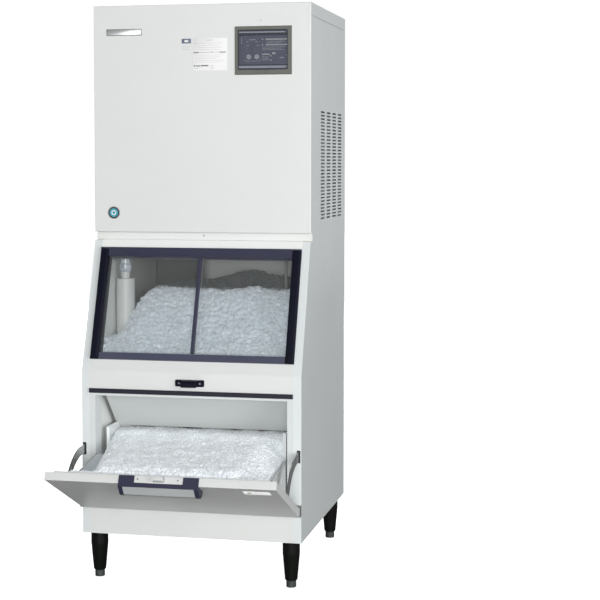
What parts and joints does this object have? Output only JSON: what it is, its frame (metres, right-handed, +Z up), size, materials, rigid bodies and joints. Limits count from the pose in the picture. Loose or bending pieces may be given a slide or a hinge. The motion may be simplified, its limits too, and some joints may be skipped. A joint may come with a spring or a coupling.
{
  "type": "ice machine",
  "caption": "Upright ice maker head on an insulated storage bin with a tilt-out lower door on curved stays, sliding window panes and slender legs.",
  "frame": {"origin": "centre of the underside of the whole object's box, door open, on the floor", "axes": "+X to the right seen from the front, +Y to the back, +Z up"},
  "size_m": [0.7016, 1.1232, 1.798],
  "materials": {
    "side_paint": "satin light grey enamel",
    "front_paint": "satin warm light grey enamel",
    "frame_plastic": "moulded light grey plastic",
    "liner_plastic": "moulded grey food-safe plastic",
    "foam": "cast rigid polyurethane foam",
    "navy_plastic": "moulded dark blue plastic",
    "grip_plastic": "moulded light grey plastic",
    "clear_sheet": "clear sheet",
    "smoked_sheet": "smoked sheet",
    "bezel_plastic": "moulded olive grey plastic",
    "control_plate": "printed plate, plain",
    "key_plastic": "moulded pale plastic",
    "black_plastic": "moulded black plastic",
    "steel": "brushed stainless steel",
    "black_paint": "black enamel",
    "foot_plastic": "moulded dark grey plastic",
    "tube_plastic": "pale grey plastic",
    "strike_plastic": "pale polished",
    "evaporator_metal": "plated copper",
    "fitting_metal": "plated",
    "ice": "clear wet ice"
  },
  "bodies": {
    "cabinet": {"baffle_plate": "steel", "bin_back_panel": "side_paint", "bin_bottom_panel": "side_paint", "bin_insulation": "foam", "bin_left_side": "side_paint", "bin_liner": "liner_plastic", "bin_right_side": "side_paint", "circulation_pump": "black_plastic", "compressor": "black_paint", "control_bezel": "bezel_plastic", "control_box": "black_plastic", "control_overlay": "control_plate", "divider_panel": "steel", "door_catch": "black_plastic", "door_ice": "ice", "drain_elbow": "tube_plastic", "drain_tube": "tube_plastic", "evaporator": "evaporator_metal", "head_back_panel": "side_paint", "head_base": "steel", "head_front_panel": "front_paint", "head_left_side": "side_paint", "head_right_side": "side_paint", "head_top_panel": "front_paint", "hinge_brackets": "steel", "ice_guards": "steel", "ice_heap": "ice", "ice_slope": "black_plastic", "legs": "black_paint", "lower_front_panel": "front_paint", "middle_rail": "front_paint", "opening_frame": "frame_plastic", "opening_seal": "navy_plastic", "receiver_tank": "steel", "service_fittings": "fitting_metal", "stay_guides": "black_plastic", "thermostat_bulb": "tube_plastic", "top_rail": "front_paint", "water_tank": "black_plastic", "window_bottom_rail": "navy_plastic", "window_side_bars": "navy_plastic", "window_top_rail": "navy_plastic"},
    "door": {"door_shell": "front_paint", "door_liner": "frame_plastic", "door_handle": "navy_plastic", "handle_grip": "grip_plastic", "door_strike": "strike_plastic", "door_stays": "steel"},
    "control_cover": {"control_cover": "smoked_sheet"},
    "left_pane": {"left_pane": "clear_sheet", "pane_grip": "navy_plastic"},
    "right_pane": {"right_pane": "clear_sheet"},
    "key_1": {"key_1": "key_plastic"},
    "foot_1": {"foot_1": "foot_plastic"},
    "key_2": {"key_2": "key_plastic"},
    "foot_2": {"foot_2": "foot_plastic"},
    "key_3": {"key_3": "key_plastic"},
    "foot_3": {"foot_3": "foot_plastic"},
    "key_4": {"key_4": "key_plastic"},
    "foot_4": {"foot_4": "foot_plastic"}
  },
  "joints": [
    {"name": "door_hinge", "type": "hinge", "parent": "cabinet", "child": "door", "pos_m": [0, -0.22509, 0.2481], "axis": [1, 0, 0], "range_deg": [-65, 0], "deforming": ["door_ice"]},
    {"name": "cover_hinge", "type": "hinge", "parent": "cabinet", "child": "control_cover", "pos_m": [0, -0.06914, 1.7118], "axis": [-1, 0, 0], "range_deg": [0, 100]},
    {"name": "left_pane_slide", "type": "slide", "parent": "cabinet", "child": "left_pane", "axis": [1, 0, 0], "range_m": [0, 0.28]},
    {"name": "right_pane_slide", "type": "slide", "parent": "cabinet", "child": "right_pane", "axis": [-1, 0, 0], "range_m": [0, 0.276]},
    {"name": "key_1_press", "type": "slide", "parent": "cabinet", "child": "key_1", "axis": [0, 1, 0], "range_m": [0, 0.0012], "stiffness_N_per_m": 600, "springref_m": -0.0005},
    {"name": "key_2_press", "type": "slide", "parent": "cabinet", "child": "key_2", "axis": [0, 1, 0], "range_m": [0, 0.0012], "stiffness_N_per_m": 600, "springref_m": -0.0005},
    {"name": "key_3_press", "type": "slide", "parent": "cabinet", "child": "key_3", "axis": [0, 1, 0], "range_m": [0, 0.0012], "stiffness_N_per_m": 600, "springref_m": -0.0005},
    {"name": "key_4_press", "type": "slide", "parent": "cabinet", "child": "key_4", "axis": [0, 1, 0], "range_m": [0, 0.0012], "stiffness_N_per_m": 600, "springref_m": -0.0005},
    {"name": "foot_1_thread", "type": "slide", "parent": "cabinet", "child": "foot_1", "axis": [0, 0, -1], "range_m": [0, 0.02]},
    {"name": "foot_2_thread", "type": "slide", "parent": "cabinet", "child": "foot_2", "axis": [0, 0, -1], "range_m": [0, 0.02]},
    {"name": "foot_3_thread", "type": "slide", "parent": "cabinet", "child": "foot_3", "axis": [0, 0, -1], "range_m": [0, 0.02]},
    {"name": "foot_4_thread", "type": "slide", "parent": "cabinet", "child": "foot_4", "axis": [0, 0, -1], "range_m": [0, 0.02]}
  ]
}
